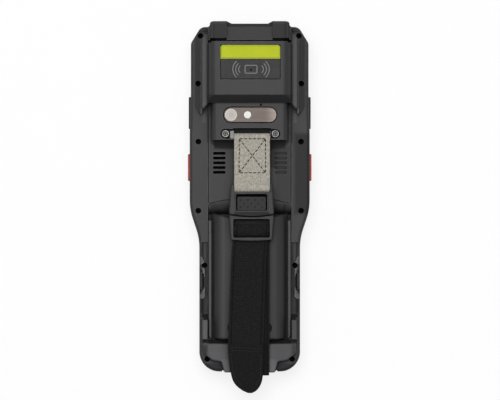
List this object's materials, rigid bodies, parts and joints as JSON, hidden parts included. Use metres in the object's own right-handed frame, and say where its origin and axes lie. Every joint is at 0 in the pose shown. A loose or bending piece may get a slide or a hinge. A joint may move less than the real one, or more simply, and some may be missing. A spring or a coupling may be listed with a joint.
{
  "type": "handheld barcode terminal",
  "caption": "Rugged handheld barcode terminal with scanner head, camera, keypad, battery pack, hinged port lids and an elastic hand strap with a buckle.",
  "frame": {"origin": "on the front rim, in the middle of the crossbar between the display and the keypad", "axes": "+X to the right seen from the back, +Y towards the scanner head, +Z out of the back"},
  "size_m": [0.0742, 0.2225, 0.034],
  "materials": {
    "casing": "fine moulded texture, charcoal",
    "front_casing": "fine moulded texture, near black",
    "bumper": "fine moulded texture, soft touch",
    "cover_grey": "fine moulded texture, lighter grey",
    "battery_case": "fine moulded texture",
    "seal_rubber": "matt",
    "lid_rubber": "matt, slightly lighter than the casing",
    "key_black": "satin",
    "key_red": "satin orange red",
    "key_grey": "satin",
    "scan_glass": "dark red filter",
    "display_glass": "clear with a black border",
    "display": "dark, off",
    "lens_glass": "coated lens cover",
    "lamp_lens": "milky lens",
    "plate_metal": "brushed, warm grey",
    "label_dark": "matt film",
    "label_yellow": "matt film, lime yellow",
    "steel": "plain",
    "screw_black": "black oxide",
    "webbing_grey": "woven grey-beige webbing",
    "elastic_black": "woven elastic, black",
    "tab_black": "sewn tab, black",
    "buckle_plastic": "satin acetal",
    "board_green": "solder mask",
    "module_black": "plain",
    "cell_wrap": "shrink wrap",
    "copper": "plain copper",
    "contact_gold": "gold plated"
  },
  "bodies": {
    "root": {"rear_housing": "casing", "front_housing": "front_casing", "perimeter_gasket": "seal_rubber", "case_screws": "screw_black", "scan_bumper": "bumper", "scan_window": "scan_glass", "scanner_module": "module_black", "bottom_cover": "cover_grey", "camera_bezel": "plate_metal", "camera_window": "lens_glass", "camera_module": "module_black", "flash_led": "lamp_lens", "reader_label": "label_dark", "yellow_label": "label_yellow", "reader_antenna": "copper", "main_board": "board_green", "side_switches": "module_black", "speaker": "module_black", "battery_shell": "battery_case", "battery_cells": "cell_wrap", "battery_contacts": "contact_gold", "strap_bar": "steel", "strap_bar_screws": "steel", "strap_tab": "webbing_grey", "elastic_strap": "elastic_black", "strap_end_tab": "tab_black", "lower_strap_bar": "steel", "port_skins": "lid_rubber", "lid_hinge_pins": "steel", "usb_socket": "steel", "audio_socket": "module_black", "display_window": "display_glass", "display_panel": "display", "keypad_mat": "seal_rubber", "keypad_board": "board_green"},
    "battery_latch": {"battery_latch": "key_black"},
    "strap_buckle": {"buckle_socket": "buckle_plastic", "buckle_plug": "buckle_plastic"},
    "buckle_release": {"buckle_release": "buckle_plastic"},
    "port_lid_left": {"port_lid_left": "lid_rubber"},
    "port_lid_right": {"port_lid_right": "lid_rubber"},
    "side_key_left": {"side_key_left": "key_black"},
    "side_key_right": {"side_key_right": "key_black"},
    "scan_key_left": {"scan_key_left": "key_red"},
    "scan_key_right": {"scan_key_right": "key_red"},
    "key_menu": {"key_menu": "key_grey"},
    "key_scan": {"key_scan": "key_red"},
    "key_back": {"key_back": "key_grey"},
    "key_1": {"key_1": "key_grey"},
    "key_2": {"key_2": "key_grey"},
    "key_3": {"key_3": "key_grey"},
    "key_4": {"key_4": "key_grey"},
    "key_5": {"key_5": "key_grey"},
    "key_6": {"key_6": "key_grey"},
    "key_7": {"key_7": "key_grey"},
    "key_8": {"key_8": "key_grey"},
    "key_9": {"key_9": "key_grey"},
    "key_star": {"key_star": "key_grey"},
    "key_0": {"key_0": "key_grey"},
    "key_hash": {"key_hash": "key_grey"}
  },
  "joints": [
    {"name": "key_menu_press", "type": "slide", "parent": "root", "child": "key_menu", "axis": [0, 0, 1], "range_m": [0, 0.0005], "stiffness_N_per_m": 1500},
    {"name": "key_scan_press", "type": "slide", "parent": "root", "child": "key_scan", "axis": [0, 0, 1], "range_m": [0, 0.0005], "stiffness_N_per_m": 1500},
    {"name": "key_back_press", "type": "slide", "parent": "root", "child": "key_back", "axis": [0, 0, 1], "range_m": [0, 0.0005], "stiffness_N_per_m": 1500},
    {"name": "key_1_press", "type": "slide", "parent": "root", "child": "key_1", "axis": [0, 0, 1], "range_m": [0, 0.0005], "stiffness_N_per_m": 1500},
    {"name": "key_2_press", "type": "slide", "parent": "root", "child": "key_2", "axis": [0, 0, 1], "range_m": [0, 0.0005], "stiffness_N_per_m": 1500},
    {"name": "key_3_press", "type": "slide", "parent": "root", "child": "key_3", "axis": [0, 0, 1], "range_m": [0, 0.0005], "stiffness_N_per_m": 1500},
    {"name": "key_4_press", "type": "slide", "parent": "root", "child": "key_4", "axis": [0, 0, 1], "range_m": [0, 0.0005], "stiffness_N_per_m": 1500},
    {"name": "key_5_press", "type": "slide", "parent": "root", "child": "key_5", "axis": [0, 0, 1], "range_m": [0, 0.0005], "stiffness_N_per_m": 1500},
    {"name": "key_6_press", "type": "slide", "parent": "root", "child": "key_6", "axis": [0, 0, 1], "range_m": [0, 0.0005], "stiffness_N_per_m": 1500},
    {"name": "key_7_press", "type": "slide", "parent": "root", "child": "key_7", "axis": [0, 0, 1], "range_m": [0, 0.0005], "stiffness_N_per_m": 1500},
    {"name": "key_8_press", "type": "slide", "parent": "root", "child": "key_8", "axis": [0, 0, 1], "range_m": [0, 0.0005], "stiffness_N_per_m": 1500},
    {"name": "key_9_press", "type": "slide", "parent": "root", "child": "key_9", "axis": [0, 0, 1], "range_m": [0, 0.0005], "stiffness_N_per_m": 1500},
    {"name": "key_star_press", "type": "slide", "parent": "root", "child": "key_star", "axis": [0, 0, 1], "range_m": [0, 0.0005], "stiffness_N_per_m": 1500},
    {"name": "key_0_press", "type": "slide", "parent": "root", "child": "key_0", "axis": [0, 0, 1], "range_m": [0, 0.0005], "stiffness_N_per_m": 1500},
    {"name": "key_hash_press", "type": "slide", "parent": "root", "child": "key_hash", "axis": [0, 0, 1], "range_m": [0, 0.0005], "stiffness_N_per_m": 1500},
    {"name": "side_key_left_press", "type": "slide", "parent": "root", "child": "side_key_left", "axis": [1, 0, 0], "range_m": [0, 0.0006], "stiffness_N_per_m": 1500},
    {"name": "side_key_right_press", "type": "slide", "parent": "root", "child": "side_key_right", "axis": [-1, 0, 0], "range_m": [0, 0.0006], "stiffness_N_per_m": 1500},
    {"name": "scan_key_left_press", "type": "slide", "parent": "root", "child": "scan_key_left", "axis": [1, 0, 0], "range_m": [0, 0.0006], "stiffness_N_per_m": 1500},
    {"name": "scan_key_right_press", "type": "slide", "parent": "root", "child": "scan_key_right", "axis": [-1, 0, 0], "range_m": [0, 0.0006], "stiffness_N_per_m": 1500},
    {"name": "port_lid_left_hinge", "type": "hinge", "parent": "root", "child": "port_lid_left", "pos_m": [-0.0289, -0.0504, 0.0193], "axis": [0, 1, 0], "range_deg": [0, 110]},
    {"name": "port_lid_right_hinge", "type": "hinge", "parent": "root", "child": "port_lid_right", "pos_m": [0.0289, -0.0504, 0.0193], "axis": [0, -1, 0], "range_deg": [0, 110]},
    {"name": "battery_latch_slide", "type": "slide", "parent": "root", "child": "battery_latch", "axis": [0, 1, 0], "range_m": [0, 0.002], "stiffness_N_per_m": 800},
    {"name": "hand_strap_lift", "type": "slide", "parent": "root", "child": "strap_buckle", "axis": [0, 0, 1], "range_m": [0, 0.022], "stiffness_N_per_m": 90, "deforming": ["strap_tab", "elastic_strap"]},
    {"name": "buckle_release_press", "type": "hinge", "parent": "strap_buckle", "child": "buckle_release", "pos_m": [0.0011, -0.01146, 0.0313], "axis": [-1, 0, 0], "range_deg": [0, 6], "stiffness_Nm_per_rad": 0.06}
  ]
}
